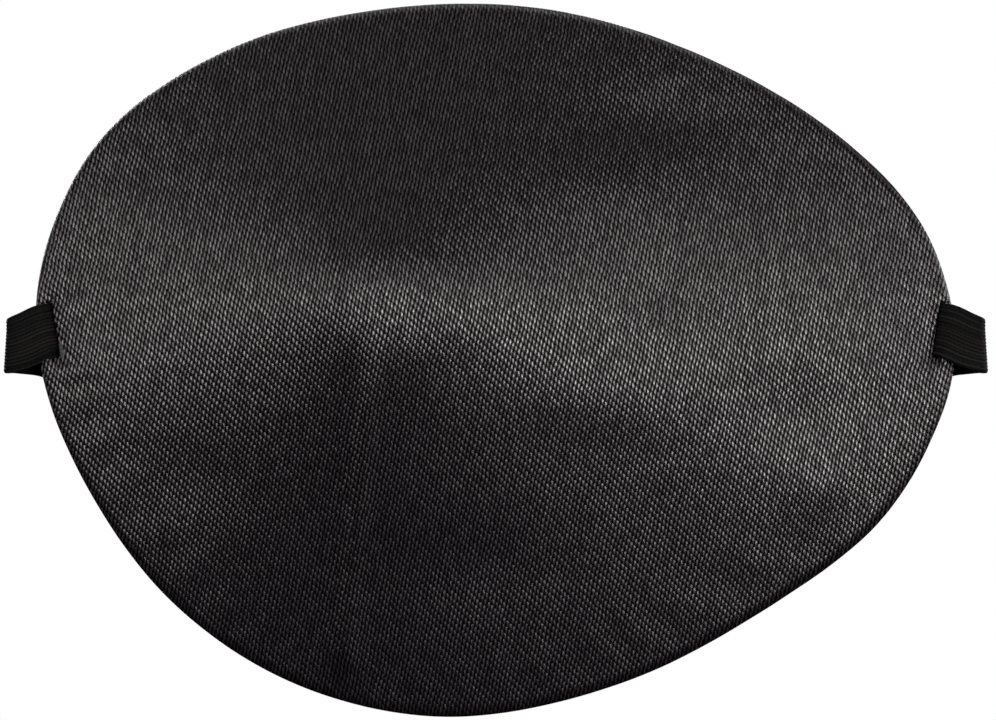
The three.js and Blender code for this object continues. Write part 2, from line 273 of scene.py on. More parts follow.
# A corner that lies well inside the line between its neighbours belongs to a slot, not to the edge.
between = [np.interp(rim_heading[i], rim_heading[[i - 1, i + 1]], rim_reach[[i - 1, i + 1]])
           for i in range(1, len(rim_heading) - 1)]
keep = np.concatenate([[True], rim_reach[1:-1] > np.array(between) - SLOT_STRAY, [True]])
rim_heading, rim_reach = rim_heading[keep], rim_reach[keep]
print("rim points:", len(rim_heading), "crown at", np.round(crown / MM, 2), "hollow", round(back_rise / MM, 2))


def reach_at(heading):
    """Distance from the crown to the cup's edge, smoothly between the rim's corners."""
    count = len(rim_heading)
    turned = np.mod(heading - rim_heading[0], 2 * math.pi)
    gaps = np.mod(rim_heading - rim_heading[0], 2 * math.pi)
    before = np.searchsorted(gaps, turned, side="right") - 1
    after = (before + 1) % count
    span = np.where(after == 0, 2 * math.pi, gaps[after]) - gaps[before]
    share = (turned - gaps[before]) / span
    p0, p1 = rim_reach[before - 1], rim_reach[before]
    p2, p3 = rim_reach[after], rim_reach[(after + 1) % count]
    return 0.5 * (2 * p1 + (p2 - p0) * share + (2 * p0 - 5 * p1 + 4 * p2 - p3) * share**2
                  + (3 * p1 - p0 - 3 * p2 + p3) * share**3)


# The spokes stand closer together at the dart and at the two slots, where the shape is finest.
FINE_HEADINGS = {DART_HEADING: (0.09, 2.5), math.radians(-3.6): (0.12, 2.0), math.radians(186): (0.2, 2.0)}
fine = np.linspace(0, 2 * math.pi, 20000)
density = np.ones_like(fine)
for heading, (half_width, more) in FINE_HEADINGS.items():
    off = np.angle(np.exp(1j * (fine - heading)))
    density += more * np.exp(-(off / half_width)**2)
count_up = np.append(0, np.cumsum(density[:-1] + density[1:]))
headings = np.interp(np.arange(SPOKES) / SPOKES * count_up[-1], count_up, fine)
reaches = reach_at(headings)


def come_down(share, foot):
    """How far a slope has come down, from 0 at the crown to 1 at its end, with its last part eased."""
    whole = 1 - (CROWN_ROUND + foot) / 2
    near = share**2 / (2 * CROWN_ROUND) / whole
    along = (share - CROWN_ROUND / 2) / whole
    eased = 1 - (1 - share)**2 / (2 * max(foot, 1e-6)) / whole
    return np.where(share < CROWN_ROUND, near, np.where(share <= 1 - foot, along, eased))


# The front slope runs on into the half-round edge; the back slope ends at the flat rim.
front_reach = reaches - RIM_ROUND * (1 - math.sin(EDGE_TILT))
front_foot_y = -RIM_ROUND * (1 + math.cos(EDGE_TILT))
front_rise = -crown[1] + front_foot_y


# %% [markdown]
# ## Relief
# Real satin over a soft pad isn't a perfect cone. The closed dart of the pad shows as a soft
# straight ridge from under the crown to the lower rim, fingers have left shallow dents, and the
# cloth lifts a little in puckers just inside the turned edge. They are true shape, not bump,
# because they steer the satin's sheen.

# %% Describe the relief
DART_HALF_WIDTH = 1.0 * MM
DART_LIFT = 0.6 * MM
DART_START = 7 * MM
DART_EASE = 1.5 * MM
# Each dent or swelling: its middle and its half width and half height, then how far it lifts.
SWELLS = [
    ((15.6, 4.2), (4.5, 4.5), -0.4), ((15.2, 19.4), (5.5, 2.8), -0.34), ((28.1, -7.4), (4.2, 3.2), -0.38),
    ((-37.6, 6.5), (2.8, 3.2), -0.4), ((-36.2, 0.5), (2.6, 2.8), -0.34), ((8.0, 13.0), (7.0, 3.5), 0.25),
    ((10.0, -6.5), (9.0, 3.0), 0.2), ((-24.0, 10.0), (6.0, 5.0), 0.2), ((26.0, 8.0), (4.5, 6.0), 0.24),
    ((-2.0, -22.0), (8.0, 4.0), -0.2), ((31.0, -14.5), (3.0, 2.2), 0.3), ((-27.5, -13.5), (5.0, 4.0), -0.2),
]
PUCKERS = 46
PUCKER_LIFT = 0.05 * MM
PUCKER_SHARE = 0.93  # of the way from the crown to the edge
PUCKER_LONG = 0.05
RIM_FADE = 0.1  # the dents and the dart end over this last share of the slope
rng = np.random.default_rng(7)
pucker_gaps = np.cumsum(np.append(0, rng.uniform(0.5, 1.5, PUCKERS)))
pucker_at = pucker_gaps / pucker_gaps[-1] * 2 * math.pi
pucker_phase = np.interp(headings, pucker_at, np.arange(PUCKERS + 1) * 2 * math.pi)


def relief(x, z, share):
    """How far the satin stands forward of the plain cup, for one ring at its share of the slope."""
    lift = np.sin(pucker_phase) * PUCKER_LIFT * math.exp(-((share - PUCKER_SHARE) / PUCKER_LONG)**2)
    fade = 1 - smooth_step((share - 1 + RIM_FADE) / RIM_FADE)
    for (mid_x, mid_z), (wide, tall), height in SWELLS:
        off = ((x / MM - mid_x) / wide)**2 + ((z / MM - mid_z) / tall)**2
        lift += height * MM * np.exp(-off) * fade
    dx, dz = x - crown[0], z - crown[2]
    along = dx * math.cos(DART_HEADING) + dz * math.sin(DART_HEADING)
    across = -dx * math.sin(DART_HEADING) + dz * math.cos(DART_HEADING)
    ends = 1 / (1 + np.exp(-(along - DART_START) / DART_EASE))
    return lift + DART_LIFT * np.exp(-(across / DART_HALF_WIDTH)**2) * ends * fade


# %% [markdown]
# ## Shells in rings
# Each shell is a grid of rings round the crown: down the front, round the half-round edge, and
# on to the back. A grid keeps the quads even and gives every corner a place on the flat cloth,
# which becomes its UV map. The map is turned so that U runs across the satin's threads.

# %% Build a shell from rings
THREAD_LEAN = math.radians(12.9)
UV_SPAN = 0.12


def shell_object(name, rings):
    """rings: arrays of SPOKES points from the crown outward. The first ring closes on the crown."""
    points = np.concatenate([rings[0].mean(0)[None], *rings])
    faces = []
    for j in range(SPOKES):
        after = (j + 1) % SPOKES
        faces.append((0, 1 + j, 1 + after))
        for i in range(len(rings) - 1):
            low, high = 1 + i * SPOKES, 1 + (i + 1) * SPOKES
            faces.append((low + j, high + j, high + after, low + after))
    mesh = bpy.data.meshes.new(name)
    mesh.from_pydata(points.tolist(), [], faces)
    uv = mesh.uv_layers.new(name="cloth")
    corner = np.array([loop.vertex_index for loop in mesh.loops])
    x, z = points[corner, 0], points[corner, 2]
    across = x * math.cos(THREAD_LEAN) - z * math.sin(THREAD_LEAN)
    along = x * math.sin(THREAD_LEAN) + z * math.cos(THREAD_LEAN)
    uv.data.foreach_set("uv", (0.5 + np.stack([across, along], 1) / UV_SPAN).ravel())
    mesh.shade_smooth()
    piece = bpy.data.objects.new(name, mesh)
    bpy.context.scene.collection.objects.link(piece)
    return piece


def ring(radius, depth):
    """One ring of points: radius from the crown and depth along Y, one of each for every spoke."""
    x = crown[0] + radius * np.cos(headings)
    z = crown[2] + radius * np.sin(headings)
    return np.stack([x, np.broadcast_to(depth, x.shape), z], 1)


def front_rings(steps, inset, highest):
    """Rings down the front, from near the crown to the half-round edge. Relief is cut off at highest."""
    made = []
    for share in (np.arange(steps) + 0.5) / steps:
        flat = ring(share * front_reach, 0)
        flat[:, 1] = front_foot_y - front_rise * (1 - come_down(np.array(share), 0)) + inset
        flat[:, 1] -= np.minimum(relief(flat[:, 0], flat[:, 2], share), highest)
        made.append(flat)
    return made


def back_rings(steps, inset):
    """Rings down the hollow back, from near the crown to the flat rim."""
    made = []
    for share in (np.arange(steps) + 0.5) / steps:
        depth = -back_rise * (1 - come_down(np.array(share), FOOT_ROUND))
        made.append(ring(share * (reaches - RIM_BAND), depth + inset))
    return made


def edge_rings(radius, steps):
    """The half round from the front of the rim to its back, drawn in by less radius."""
    turns = np.linspace(EDGE_TILT - math.pi / 2, math.pi / 2, steps + 1)
    return [ring(reaches - RIM_ROUND + radius * math.cos(turn), radius * math.sin(turn) - RIM_ROUND)
            for turn in turns]


def apply_modifiers(piece):
    """The evaluated shape becomes the piece's own mesh, and the modifiers go."""
    graph = bpy.context.evaluated_depsgraph_get()
    mesh = bpy.data.meshes.new_from_object(piece.evaluated_get(graph), depsgraph=graph)
    mesh.name = piece.name
    piece.modifiers.clear()
    old = piece.data
    piece.data = mesh
    if old.users == 0:
        (bpy.data.curves if isinstance(old, bpy.types.Curve) else bpy.data.meshes).remove(old)
    return piece


# %% [markdown]
# ## The slots
# A slot is cut straight through the satin, the pad and the turned hem, a little in from the
# edge and along it. A rounded cutter and a boolean do it. The sizes come from the band.

# %% Cut the slots
BAND = 5 * MM
BAND_THICK = 0.7 * MM
EDGE_X = (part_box("front_cover")[1].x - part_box("front_cover")[0].x) / 2
SLOT_X = EDGE_X - 1.5 * MM
SLOT_LEAN = math.radians(9.4)
SLOT_LONG = 5.1 * MM
SLOT_WIDE = 0.8 * MM


def slot_cutter(side):
    bpy.ops.mesh.primitive_cube_add(size=1, location=(side * SLOT_X, 0, 0), rotation=(0, side * SLOT_LEAN, 0))
    cutter = bpy.context.object
    cutter.scale = (SLOT_WIDE, 12 * MM, SLOT_LONG)
    bpy.ops.object.transform_apply()
    return cutter


def cut_slots(piece):
    for side in (-1, 1):
        cutter = slot_cutter(side)
        cut = piece.modifiers.new("slot", "BOOLEAN")
        cut.operation = "DIFFERENCE"
        cut.solver = "EXACT"
        cut.object = cutter
        apply_modifiers(piece)
        bpy.data.objects.remove(cutter)
    return piece


# %% [markdown]
# ## Satin finish
# Satin is woven so that each thread floats over several others before it is tied down. The
# floats lie side by side in columns, every column stepped on from the last, and they shine
# across their length like fine hair. The weave is drawn with arithmetic on the cloth's own map:
# a column number, a float number in the column, and a rounded height over each float. Painted
# shade darkens the gaps between floats, where the tie-downs lie in shadow: the colour and the
# gloss's tint both fade to black there. Each float also gets a random painted glint strength in
# its colour and its gloss's tint. The long highlight comes from an anisotropic gloss whose
# tangent also follows the cloth.

# %% Make the satin
COLUMN = 0.35 * MM
FLOAT = 0.59 * MM
FLOAT_STEP = 0.36
FLOAT_SHEAR = 0.3  # a float stands more upright than its column
FLOAT_HEIGHT = 0.07 * MM
WANDER = 55  # the columns wander sideways over about 2 mm, and in small steps too
FINE_WANDER = 500


def satin_weave(tree, cloth_map):
    """Two heights over the floats, across and along them, and one random number for each float."""
    wander = maths(tree, "MULTIPLY_ADD",
                   noise(tree, cloth_map, FINE_WANDER), 0.4, noise(tree, cloth_map, WANDER))
    split = add_node(tree, "ShaderNodeSeparateXYZ", {"Vector": cloth_map})
    across = maths(tree, "MULTIPLY_ADD", split.outputs["X"], UV_SPAN / COLUMN, wander)
    column = maths(tree, "FLOOR", across)
    along = maths(tree, "MULTIPLY_ADD", split.outputs["Y"], UV_SPAN / FLOAT,
                  maths(tree, "MULTIPLY", column, FLOAT_STEP))
    number = maths(tree, "FLOOR", along)
    along_share = maths(tree, "FRACT", along)
    leaning = maths(tree, "MULTIPLY_ADD", along_share, FLOAT_SHEAR, maths(tree, "FRACT", across))
    leaning = maths(tree, "SUBTRACT", leaning, FLOAT_SHEAR / 2)
    round_off = maths(tree, "SINE", maths(tree, "MULTIPLY", leaning, math.pi))
    round_off = maths(tree, "MAXIMUM", round_off, 0.0)
    arch_off = maths(tree, "SINE", maths(tree, "MULTIPLY", along_share, math.pi))
    float_id = add_node(tree, "ShaderNodeCombineXYZ", {"X": column, "Y": number})
    chance = add_node(tree, "ShaderNodeTexWhiteNoise", {"Vector": float_id.outputs[0]}, noise_dimensions="2D")
    return round_off, arch_off, chance.outputs["Value"]


satin, tree, shader = new_material("black_satin", 1.0, Anisotropic=0.95, Anisotropic_Rotation=0.012)
cloth_map = add_node(tree, "ShaderNodeUVMap", uv_map="cloth").outputs["UV"]
round_off, arch_off, chance = satin_weave(tree, cloth_map)
# Painted shade: this share is 1 on the float crowns and falls to 0 in the shaded gaps, and each float's random number
# scales it as a painted glint.
float_lit_share = maths(tree, "MULTIPLY", maths(tree, "POWER", round_off, 4.0), spread(tree, arch_off, 0.38, 1.0))
shade = maths(tree, "MULTIPLY", float_lit_share, spread(tree, chance, 0.45, 1.0))
satin_black_with_painted_shade = mixed_colour(tree, shade, (0.0004, 0.0004, 0.0006), (0.0125, 0.0096, 0.0112))
put(tree, satin_black_with_painted_shade, shader.inputs["Base Color"])
# Painted shade and glint in the gloss: its tint fades to black in the gaps and is stronger or weaker at random from
# float to float.
put(tree, mixed_colour(tree, shade, (0.0, 0.0, 0.0), (1.0, 0.93, 0.92)), shader.inputs["Specular Tint"])
put(tree, spread(tree, shade, 0.5, 0.37), shader.inputs["Roughness"])
height = maths(tree, "MULTIPLY_ADD", arch_off, 0.35, maths(tree, "MULTIPLY", round_off, 0.65))
put(tree, bump(tree, height, FLOAT_HEIGHT), shader.inputs["Normal"])
tangent = add_node(tree, "ShaderNodeTangent", direction_type="UV_MAP", uv_map="cloth")
put(tree, tangent.outputs[0], shader.inputs["Tangent"])
print("satin nodes:", len(tree.nodes))

# %% [markdown]
# ## Satin cover
# The cover is one cut of satin, stretched over the pad, turned round the edge and hemmed at the
# back. It is built as the outer face of the cloth and given its thickness inwards. The cloth is
# pressed down in a narrow lip round each slot, where the band pulls on it.

# %% Make the cover
CLOTH = 0.4 * MM
HEM = 3.6 * MM
FRONT_RINGS = 84
ANY_HEIGHT = 1.0
LIP = 1.3 * MM


def slot_press(x, z):
    """How far the cloth is pressed back round the slots: 1 at a slot's edge, 0 past its lip."""
    press = np.zeros_like(x)
    for side in (-1, 1):
        dx, dz = x - side * SLOT_X, z
        across = dx * math.cos(SLOT_LEAN) - dz * side * math.sin(SLOT_LEAN)
        along = dx * side * math.sin(SLOT_LEAN) + dz * math.cos(SLOT_LEAN)
        off_x = np.maximum(np.abs(across) - SLOT_WIDE / 2, 0)
        off_z = np.maximum(np.abs(along) - SLOT_LONG / 2, 0)
        share = np.clip(1 - np.hypot(off_x, off_z) / LIP, 0, 1)
        press = np.maximum(press, share**2 * (3 - 2 * share))
    return press


cover_rings = front_rings(FRONT_RINGS, 0, ANY_HEIGHT) + edge_rings(RIM_ROUND, 10)
for flat in cover_rings[FRONT_RINGS // 2:FRONT_RINGS + 3]:
    press = slot_press(flat[:, 0], flat[:, 2])
    flat[:, 1] = np.maximum(flat[:, 1], flat[:, 1] * (1 - press) - (RIM_THICK - 0.1 * MM) * press)
hem_insets = np.linspace(RIM_ROUND, HEM, 5)[1:]
cover_rings += [ring(reaches - inset, 0) for inset in hem_insets]


def thicken(piece, thickness, offset=-1.0):
    wall = piece.modifiers.new("thickness", "SOLIDIFY")
    wall.thickness = thickness
    wall.offset = offset
    return apply_modifiers(piece)


satin_cover = thicken(shell_object("satin_cover", cover_rings), CLOTH)
cut_slots(satin_cover)
satin_cover.data.materials.append(satin)
satin_cover.data.shade_smooth()
print("satin faces:", len(satin_cover.data.polygons))

# %% [markdown]
# ## Foam core
# Under the satin is a moulded pad of soft foam, 3 mm thick over the eye and pressed thin in the
# rim. It only shows in the slots, but it gives the cup its body. It is a closed shell of two
# skins with a rounded edge. It follows the satin's dents but not its swellings.

# %% Make the foam
SKIN = CLOTH + 0.1 * MM

foam, tree, shader = new_material("black_foam", 0.2, Sheen_Weight=0.1)
coordinates = add_node(tree, "ShaderNodeTexCoord").outputs["Object"]
pores = add_node(tree, "ShaderNodeTexVoronoi", {"Vector": coordinates, "Scale": 2600.0}).outputs["Distance"]
put(tree, mixed_colour(tree, pores, (0.012, 0.012, 0.013), (0.035, 0.035, 0.037)), shader.inputs["Base Color"])
put(tree, spread(tree, pores, 0.98, 0.8), shader.inputs["Roughness"])
put(tree, bump(tree, pores, 0.1 * MM), shader.inputs["Normal"])

foam_rings = front_rings(60, SKIN, 0) + edge_rings(RIM_ROUND - SKIN, 6) + back_rings(24, -SKIN)[::-1]


def close_back(piece):
    """Closes a shell's last ring with a fan to a middle point."""
    mesh = bmesh.new()
    mesh.from_mesh(piece.data)
    rim = [edge for edge in mesh.edges if edge.is_boundary]
    if rim:
        made = bmesh.ops.holes_fill(mesh, edges=rim)
        bmesh.ops.poke(mesh, faces=made["faces"])
    mesh.to_mesh(piece.data)
    mesh.free()


foam_core = shell_object("foam_core", foam_rings)
close_back(foam_core)
cut_slots(foam_core)
foam_core.data.materials.append(foam)
foam_core.data.shade_smooth()

# %% [markdown]
# ## Dart tape
# The dome of the pad is made by cutting a dart and closing it. A narrow tape over the join keeps
# it shut, and it is the tape that prints through the satin as a soft ridge. It is a thin strip
# that follows the pad's slope down from the crown.

# %% Make the tape
TAPE_WIDE = 1.5 * MM
TAPE_THICK = 0.12 * MM


def cup_front(x, z):
    """The satin's outer face without relief, at points of the slope."""
    heading = np.arctan2(z - crown[2], x - crown[0])
    reach = reach_at(heading) - RIM_ROUND * (1 - math.sin(EDGE_TILT))
    share = np.hypot(x - crown[0], z - crown[2]) / reach
    return front_foot_y - front_rise * (1 - come_down(np.minimum(share, 1), 0))


def dart_point(along, across):
    x = crown[0] + along * math.cos(DART_HEADING) - across * math.sin(DART_HEADING)
    z = crown[2] + along * math.sin(DART_HEADING) + across * math.cos(DART_HEADING)
    return x, cup_front(np.array([x]), np.array([z]))[0] + CLOTH + 0.01 * MM, z


dart_reach = reach_at(np.array([DART_HEADING]))[0] - RIM_BAND
ROWS, COLUMNS = 40, 7
tape_alongs = np.linspace(0.14, 0.86, ROWS) * dart_reach
tape_acrosses = np.linspace(-0.5, 0.5, COLUMNS) * TAPE_WIDE
tape_mesh = bpy.data.meshes.new("dart_strip")
points = [dart_point(along, across) for along in tape_alongs for across in tape_acrosses]
corners = [i * COLUMNS + j for i in range(ROWS - 1) for j in range(COLUMNS - 1)]
faces = [(k, k + COLUMNS, k + COLUMNS + 1, k + 1) for k in corners]
tape_mesh.from_pydata(points, [], faces)
tape_mesh.shade_smooth()
dart_strip = bpy.data.objects.new("dart_strip", tape_mesh)
bpy.context.scene.collection.objects.link(dart_strip)
thicken(dart_strip, TAPE_THICK)

# %% [markdown]
# ## Lining
# The back is lined with a brushed cloth that is kind to the skin. It is the inner shell of the
# cup: hollow over the eye, flat round the rim, with its edge tucked under the satin's hem.
# A brushed cloth has no clear weave, only a fine nap, so its finish is soft noise and sheen.

# %% Make the lining
lining_cloth, tree, shader = new_material("brushed_lining", 0.25, Sheen_Weight=0.35, Sheen_Roughness=0.45)
coordinates = add_node(tree, "ShaderNodeTexCoord").outputs["Object"]
nap = noise(tree, coordinates, 3200, 4)
patches = noise(tree, coordinates, 160, 3)
fibre = maths(tree, "MULTIPLY_ADD", patches, 0.35, maths(tree, "MULTIPLY", nap, 0.65))
nap_black = mixed_colour(tree, fibre, (0.009, 0.009, 0.0105), (0.034, 0.033, 0.037))
put(tree, nap_black, shader.inputs["Base Color"])
put(tree, spread(tree, nap, 0.75, 0.98), shader.inputs["Roughness"])
put(tree, bump(tree, fibre, 0.12 * MM), shader.inputs["Normal"])

TUCK = 1.2 * MM
lining_rings = back_rings(44, -0.02 * MM)
tuck_insets = np.array([RIM_BAND, 4.6 * MM, 4.2 * MM, HEM + 0.15 * MM, HEM, HEM - 0.3 * MM, HEM - TUCK])
tuck_depths = np.array([0.02, 0.02, 0.06, 0.3, 0.44, 0.5, 0.5]) * -MM
lining_rings += [ring(reaches - inset, depth) for inset, depth in zip(tuck_insets, tuck_depths)]
lining = thicken(shell_object("lining", [flat[::-1] for flat in lining_rings]), 0.35 * MM)
lining.data.materials.append(lining_cloth)

# %% [markdown]
# ## Hem stitches
# The hem is felled to the lining by hand: short slanting stitches that catch the lining and the
# turned satin, and never come through to the front. Stitches repeat along a line, so Geometry
# Nodes place them: the hem's line is measured out in even steps, a small capsule of thread is
# set at each step and turned to the line, and the stitches are made real.

# %% Helpers for geometry node trees
def node_group(name, sizes):
    """An empty tree with a named input for each size, and its input and output nodes."""
    group = bpy.data.node_groups.new(name, "GeometryNodeTree")
    group.interface.new_socket("Geometry", in_out="INPUT", socket_type="NodeSocketGeometry")
    for label, value in sizes.items():
        kind = "NodeSocketInt" if isinstance(value, int) else "NodeSocketFloat"
        group.interface.new_socket(label, in_out="INPUT", socket_type=kind).default_value = value
    group.interface.new_socket("Geometry", in_out="OUTPUT", socket_type="NodeSocketGeometry")
    return group, group.nodes.new("NodeGroupInput").outputs, group.nodes.new("NodeGroupOutput")


def curve_object(name, points, cyclic=False, tilts=None):
    curve = bpy.data.curves.new(name, "CURVE")
    curve.dimensions = "3D"
    line = curve.splines.new("POLY")
    line.points.add(len(points) - 1)
    line.points.foreach_set("co", np.column_stack([points, np.ones(len(points))]).ravel())
    if tilts is not None:
        line.points.foreach_set("tilt", tilts)
    line.use_cyclic_u = cyclic
    piece = bpy.data.objects.new(name, curve)
    bpy.context.scene.collection.objects.link(piece)
    return piece


def run_nodes(piece, group, sizes):
    """Runs a node tree on an object with its sizes, and keeps the result as a plain mesh."""
    modifier = piece.modifiers.new(group.name, "NODES")
    modifier.node_group = group
    inputs = {item.name: item.identifier for item in group.interface.items_tree if item.in_out == "INPUT"}
    for label, value in sizes.items():
        modifier[inputs[label]] = value
    graph = bpy.context.evaluated_depsgraph_get()
    mesh = bpy.data.meshes.new_from_object(piece.evaluated_get(graph), depsgraph=graph)
    name = piece.name
    bpy.data.curves.remove(piece.data)
    plain = bpy.data.objects.new(name, mesh)
    bpy.context.scene.collection.objects.link(plain)
    return plain


def finish_tree(group, geometry, output, material):
    """Makes the instances real, gives them their material and ends the tree."""
    real = add_node(group, "GeometryNodeRealizeInstances", {"Geometry": geometry})
    painted = add_node(group, "GeometryNodeSetMaterial", {"Geometry": real.outputs[0], "Material": material})
    put(group, painted.outputs[0], output.inputs["Geometry"])


# %% Make the thread and the hem stitches
thread, tree, shader = new_material("black_thread", 0.4, Sheen_Weight=0.15)
coordinates = add_node(tree, "ShaderNodeTexCoord").outputs["Object"]
strands = noise(tree, coordinates, 2600, 2)
thread_black = mixed_colour(tree, strands, (0.008, 0.0075, 0.008), (0.03, 0.028, 0.029))
put(tree, thread_black, shader.inputs["Base Color"])
put(tree, spread(tree, strands, 0.45, 0.75), shader.inputs["Roughness"])
put(tree, bump(tree, strands, 0.05 * MM), shader.inputs["Normal"])
dart_strip.data.materials.append(thread)

STITCH_SIZES = {"Step": 2.3 * MM, "Length": 1.7 * MM, "Thread": 0.19 * MM, "Slant": math.radians(32)}
group, sizes, output = node_group("hem_stitching", STITCH_SIZES)
even = add_node(group, "GeometryNodeResampleCurve", {
    "Curve": sizes["Geometry"], "Length": sizes["Step"]}, mode="LENGTH")
bead = add_node(group, "GeometryNodeMeshUVSphere", {"Segments": 8, "Rings": 6, "Radius": 1.0})
along = add_node(group, "ShaderNodeCombineXYZ", {
    "X": maths(group, "MULTIPLY", sizes["Length"], 0.5), "Y": sizes["Thread"], "Z": sizes["Thread"]})
tangent = add_node(group, "GeometryNodeInputTangent").outputs[0]
facing = add_node(group, "FunctionNodeAxesToRotation", {
    "Primary Axis": tangent,
    "Secondary Axis": (0.0, 1.0, 0.0)}, primary_axis="X", secondary_axis="Z").outputs[0]
slant = add_node(group, "FunctionNodeAxisAngleToRotation", {
    "Axis": (0.0, 0.0, 1.0), "Angle": sizes["Slant"]}).outputs[0]
turned = add_node(group, "FunctionNodeRotateRotation", {
    "Rotation": facing, "Rotate By": slant}, rotation_space="LOCAL")
stitches = add_node(group, "GeometryNodeInstanceOnPoints", {
    "Points": even.outputs[0], "Instance": bead.outputs["Mesh"],
    "Rotation": turned.outputs[0], "Scale": along.outputs[0]})
finish_tree(group, stitches.outputs[0], output, thread)

hem_line = ring(reaches - HEM - 0.1 * MM, -0.05 * MM)
hem_stitches = run_nodes(curve_object("hem_stitches", hem_line, cyclic=True), group, STITCH_SIZES)
hem_stitches.data.shade_smooth()
BEAD_FACES = 48
print("hem stitches:", len(hem_stitches.data.polygons) // BEAD_FACES)

# %% [markdown]
# ## The band's path
# The headband is one length of flat elastic. From its sewn end behind the left slot it goes
# forward through the slot, folds over the cup's edge, runs back round the head, and comes
# forward to the right slot the same way. Its middle line is written as points beside one side
# run, mirrored for the other. Behind the pivot the whole band slopes down a little.

# %% Lay out the path
PIVOT = Vector((0, 0, -1.9 * MM))
SLOPE = math.radians(3)
TAPER = math.radians(6)
RUN = 110 * MM
RUN_X = EDGE_X - 0.5 * MM
ARC_POINTS = 48
LOOP_X = EDGE_X + 2.8 * MM - BAND_THICK / 2
LAYER = 0.95 * MM
MERGE = 14 * MM
LOOP_FALL = 0.8
LOOP_LEAN = math.radians(-4)
LEFT_END = 23 * MM
PIVOT_REACH = 6.5 * MM


def by_run(along, out, drop=1.0):
    """A point beside the right run: along it from the pivot, and out from the band's middle."""
    x = RUN_X - along * math.sin(TAPER) + out * math.cos(TAPER)
    return np.array([x, along * math.cos(TAPER) + out * math.sin(TAPER), PIVOT.z * drop])


def inner_leg(along, drop=1.0):
    share = smooth_step(along / MERGE)
    return by_run(along, (SLOT_X - RUN_X) * (1 - share) - LAYER * share, drop)


def spline(points, step, knots=0.5):
    """A smooth line through points, cut into even steps."""
    points = np.array(points)
    padded = np.vstack([2 * points[0] - points[1], points, 2 * points[-1] - points[-2]])
    times = np.append(0, np.cumsum(np.linalg.norm(np.diff(padded, axis=0), axis=1)**knots))
    line = []
    for i in range(1, len(padded) - 2):
        t0, t1, t2, t3 = times[i - 1:i + 3]
        p0, p1, p2, p3 = padded[i - 1:i + 3]
        t = np.linspace(t1, t2, 40, endpoint=False)[:, None]
        a1 = p0 + (p1 - p0) * (t - t0) / (t1 - t0)
        a2 = p1 + (p2 - p1) * (t - t1) / (t2 - t1)
        a3 = p2 + (p3 - p2) * (t - t2) / (t3 - t2)
        b1 = a1 + (a2 - a1) * (t - t0) / (t2 - t0)
        b2 = a2 + (a3 - a2) * (t - t1) / (t3 - t1)
        line.append(b1 + (b2 - b1) * (t - t1) / (t2 - t1))
    line = np.vstack([*line, padded[-2:-1]])
    gone = np.append(0, np.cumsum(np.linalg.norm(np.diff(line, axis=0), axis=1)))
    marks = np.linspace(0, gone[-1], max(2, round(gone[-1] / step)))
    return np.column_stack([np.interp(marks, gone, line[:, k]) for k in range(3)])


def slot_loop():
    """From the leg behind the right slot, through it, over the edge and back to the run."""
    front = RIM_THICK + 0.05 * MM + BAND_THICK / 2
    bend = front - BAND_THICK
    points = [
        inner_leg(LEFT_END), inner_leg(18 * MM), inner_leg(MERGE), inner_leg(10 * MM), inner_leg(7.5 * MM),
        inner_leg(3.25 * MM, 0.5), (SLOT_X, 0, 0), (SLOT_X, -bend, 0),
        (SLOT_X + BAND_THICK, -front, PIVOT.z * 0.1 * LOOP_FALL),
        ((SLOT_X + LOOP_X) / 2, -front, PIVOT.z * 0.5 * LOOP_FALL),
        (LOOP_X - BAND_THICK, -front + 0.25 * MM, PIVOT.z * 0.85 * LOOP_FALL),
        (LOOP_X, -bend + 0.25 * MM, PIVOT.z * LOOP_FALL),
        (LOOP_X * 0.9 + RUN_X * 0.1, 0, PIVOT.z * LOOP_FALL),
        (LOOP_X * 0.3 + RUN_X * 0.7, 3.575 * MM, PIVOT.z * (1 + LOOP_FALL) / 2),
        by_run(7.5 * MM, 0), by_run(10 * MM, 0), by_run(MERGE, 0)]
    return spline(points, 0.3 * MM)


def sloped(line):
    """Turns what lies behind the pivot down by the slope, eased in along the first millimetres."""
    turned = line.copy()
    for point in turned:
        turn = -SLOPE * smooth_step((point[1] - 3 * MM) / (5 * MM))
        y, z = point[1], point[2] - PIVOT.z
        point[1] = y * math.cos(turn) - z * math.sin(turn)
        point[2] = PIVOT.z + y * math.sin(turn) + z * math.cos(turn)
    return turned


right_loop = slot_loop()
left_loop = right_loop * [-1, 1, 1]
run_end = by_run(RUN, 0)
arc_radius = run_end[0] / math.cos(TAPER)
arc_turns = np.linspace(TAPER, math.pi - TAPER, ARC_POINTS)
arc_back = run_end[1] + arc_radius * (np.sin(arc_turns) - math.sin(TAPER))
arc = np.column_stack([arc_radius * np.cos(arc_turns), arc_back, np.full(ARC_POINTS, PIVOT.z)])
side_run = np.array([by_run(along, 0) for along in np.arange(MERGE + 3 * MM, RUN - 1 * MM, 3 * MM)])
right_from = np.argmin(np.abs(right_loop[:len(right_loop) // 2, 1] - inner_leg(MERGE)[1]))
band_line = sloped(np.vstack([
    left_loop, side_run * [-1, 1, 1], arc[::-1], side_run[::-1], right_loop[right_from:][::-1]]))
band_length = np.linalg.norm(np.diff(band_line, axis=0), axis=1).sum()
print("band path, mm:", round(band_length / MM), "points:", len(band_line))


def leans(line):
    """The band leans with the slot where it passes through, less where it folds, and not behind."""
    tangents = np.gradient(line, axis=0)
    tangents /= np.linalg.norm(tangents, axis=1)[:, None]
    outward = smooth_step((np.abs(line[:, 0]) - SLOT_X) / (LOOP_X - SLOT_X))
    backward = smooth_step(line[:, 1] / PIVOT_REACH)
    lean = SLOT_LEAN * (1 - outward) + LOOP_LEAN * outward
    return np.sign(line[:, 0]) * lean * (1 - backward) * tangents[:, 1]


